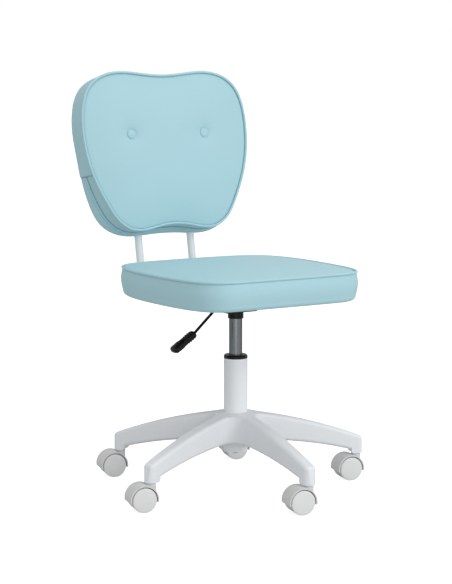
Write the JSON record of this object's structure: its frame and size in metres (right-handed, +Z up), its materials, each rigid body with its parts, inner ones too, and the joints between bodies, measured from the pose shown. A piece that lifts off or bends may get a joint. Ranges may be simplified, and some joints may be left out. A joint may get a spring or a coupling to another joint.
{
  "type": "swivel desk chair",
  "caption": "Armless swivel chair with an upholstered seat and a buttoned backrest on bent tubes, a gas-lift column and a star base on twin-wheel casters.",
  "frame": {"origin": "on the floor, under the column's axis", "axes": "the sitter faces -Y, the lever is on -X, the sitter's right; +Z is up along the column"},
  "size_m": [0.5749, 0.6612, 0.8645],
  "materials": {
    "upholstery": "satin faux leather, a coated cloth, over foam",
    "base_plastic": "satin moulded nylon",
    "hood_plastic": "fine moulded texture",
    "wheel_plastic": "satin, nylon wheel",
    "socket_plastic": "plain nylon",
    "white_paint": "satin powder coat",
    "black_plastic": "satin",
    "black_paint": "semi-gloss",
    "gunmetal": "dark polished tube",
    "zinc_steel": "zinc plated",
    "plywood": "raw plywood",
    "lining": "non-woven cloth",
    "rubber": "plain"
  },
  "bodies": {
    "base": {"star_base": "base_plastic", "column_tube": "white_paint", "guide_bushing": "black_plastic", "bearing_lower_race": "zinc_steel", "bearing_balls": "zinc_steel", "bearing_cage": "black_plastic", "caster_sockets": "socket_plastic", "stem_grip_rings": "zinc_steel"},
    "piston": {"piston_rod": "zinc_steel", "piston_head": "black_plastic", "bearing_upper_race": "zinc_steel", "bump_stop": "rubber", "rod_washer": "zinc_steel", "rod_clip": "zinc_steel"},
    "seat": {"back_board": "plywood", "back_buttons": "upholstery", "back_cushion": "upholstery", "back_rear_pad": "upholstery", "back_screws": "zinc_steel", "back_tube_left": "white_paint", "back_tube_right": "white_paint", "cylinder_end_guide": "black_plastic", "dust_cover": "lining", "frame_bolts": "zinc_steel", "gas_cylinder": "gunmetal", "seat_board": "plywood", "seat_cushion": "upholstery", "seat_plate": "black_paint", "tee_nuts": "zinc_steel", "tube_plugs": "black_plastic", "valve_body": "zinc_steel"},
    "lever": {"lever_rod": "black_paint", "lever_bush": "black_plastic", "lever_paddle": "black_plastic"},
    "valve": {"valve_button": "zinc_steel"},
    "caster_1": {"caster_1_hood": "hood_plastic", "caster_1_stem": "zinc_steel", "caster_1_axle": "zinc_steel"},
    "caster_1_left": {"caster_1_wheel_left": "wheel_plastic"},
    "caster_1_right": {"caster_1_wheel_right": "wheel_plastic"},
    "caster_2": {"caster_2_hood": "hood_plastic", "caster_2_stem": "zinc_steel", "caster_2_axle": "zinc_steel"},
    "caster_2_left": {"caster_2_wheel_left": "wheel_plastic"},
    "caster_2_right": {"caster_2_wheel_right": "wheel_plastic"},
    "caster_3": {"caster_3_hood": "hood_plastic", "caster_3_stem": "zinc_steel", "caster_3_axle": "zinc_steel"},
    "caster_3_left": {"caster_3_wheel_left": "wheel_plastic"},
    "caster_3_right": {"caster_3_wheel_right": "wheel_plastic"},
    "caster_4": {"caster_4_hood": "hood_plastic", "caster_4_stem": "zinc_steel", "caster_4_axle": "zinc_steel"},
    "caster_4_left": {"caster_4_wheel_left": "wheel_plastic"},
    "caster_4_right": {"caster_4_wheel_right": "wheel_plastic"},
    "caster_5": {"caster_5_hood": "hood_plastic", "caster_5_stem": "zinc_steel", "caster_5_axle": "zinc_steel"},
    "caster_5_left": {"caster_5_wheel_left": "wheel_plastic"},
    "caster_5_right": {"caster_5_wheel_right": "wheel_plastic"}
  },
  "joints": [
    {"name": "seat_swivel", "type": "hinge", "parent": "base", "child": "piston", "pos_m": [0, 0, 0.079], "axis": [0, 0, 1], "continuous": true},
    {"name": "seat_lift", "type": "slide", "parent": "piston", "child": "seat", "axis": [0, 0, 1], "range_m": [-0.076, 0]},
    {"name": "lever_lift", "type": "hinge", "parent": "seat", "child": "lever", "pos_m": [-0.022, 0, 0.394], "axis": [0, 1, 0], "range_deg": [0, 8], "stiffness_Nm_per_rad": 0.6, "springref_deg": -11.46},
    {"name": "valve_press", "type": "slide", "parent": "seat", "child": "valve", "axis": [0, 0, 1], "range_m": [-0.004, 0]},
    {"name": "caster_1_swivel", "type": "hinge", "parent": "base", "child": "caster_1", "pos_m": [0.15505, 0.21737, 0.0552], "axis": [0, 0, 1], "continuous": true},
    {"name": "caster_1_left_spin", "type": "hinge", "parent": "caster_1", "child": "caster_1_left", "pos_m": [0.13646, 0.22132, 0.025], "axis": [-0.2079, -0.9781, 0], "continuous": true},
    {"name": "caster_1_right_spin", "type": "hinge", "parent": "caster_1", "child": "caster_1_right", "pos_m": [0.13646, 0.22132, 0.025], "axis": [-0.2079, -0.9781, 0], "continuous": true},
    {"name": "caster_2_swivel", "type": "hinge", "parent": "base", "child": "caster_2", "pos_m": [-0.15882, 0.21463, 0.0552], "axis": [0, 0, 1], "continuous": true},
    {"name": "caster_2_left_spin", "type": "hinge", "parent": "caster_2", "child": "caster_2_left", "pos_m": [-0.1774, 0.21858, 0.025], "axis": [-0.2079, -0.9781, 0], "continuous": true},
    {"name": "caster_2_right_spin", "type": "hinge", "parent": "caster_2", "child": "caster_2_right", "pos_m": [-0.1774, 0.21858, 0.025], "axis": [-0.2079, -0.9781, 0], "continuous": true},
    {"name": "caster_3_swivel", "type": "hinge", "parent": "base", "child": "caster_3", "pos_m": [-0.2532, -0.08472, 0.0552], "axis": [0, 0, 1], "continuous": true},
    {"name": "caster_3_left_spin", "type": "hinge", "parent": "caster_3", "child": "caster_3_left", "pos_m": [-0.27179, -0.08077, 0.025], "axis": [-0.2079, -0.9781, 0], "continuous": true},
    {"name": "caster_3_right_spin", "type": "hinge", "parent": "caster_3", "child": "caster_3_right", "pos_m": [-0.27179, -0.08077, 0.025], "axis": [-0.2079, -0.9781, 0], "continuous": true},
    {"name": "caster_4_swivel", "type": "hinge", "parent": "base", "child": "caster_4", "pos_m": [0.00233, -0.26699, 0.0552], "axis": [0, 0, 1], "continuous": true},
    {"name": "caster_4_left_spin", "type": "hinge", "parent": "caster_4", "child": "caster_4_left", "pos_m": [-0.01625, -0.26304, 0.025], "axis": [-0.2079, -0.9781, 0], "continuous": true},
    {"name": "caster_4_right_spin", "type": "hinge", "parent": "caster_4", "child": "caster_4_right", "pos_m": [-0.01625, -0.26304, 0.025], "axis": [-0.2079, -0.9781, 0], "continuous": true},
    {"name": "caster_5_swivel", "type": "hinge", "parent": "base", "child": "caster_5", "pos_m": [0.25464, -0.08029, 0.0552], "axis": [0, 0, 1], "continuous": true},
    {"name": "caster_5_left_spin", "type": "hinge", "parent": "caster_5", "child": "caster_5_left", "pos_m": [0.23606, -0.07634, 0.025], "axis": [-0.2079, -0.9781, 0], "continuous": true},
    {"name": "caster_5_right_spin", "type": "hinge", "parent": "caster_5", "child": "caster_5_right", "pos_m": [0.23606, -0.07634, 0.025], "axis": [-0.2079, -0.9781, 0], "continuous": true}
  ],
  "couplings": [
    {"joint": "valve_press", "follows": "lever_lift", "m_per_rad": -0.026}
  ]
}
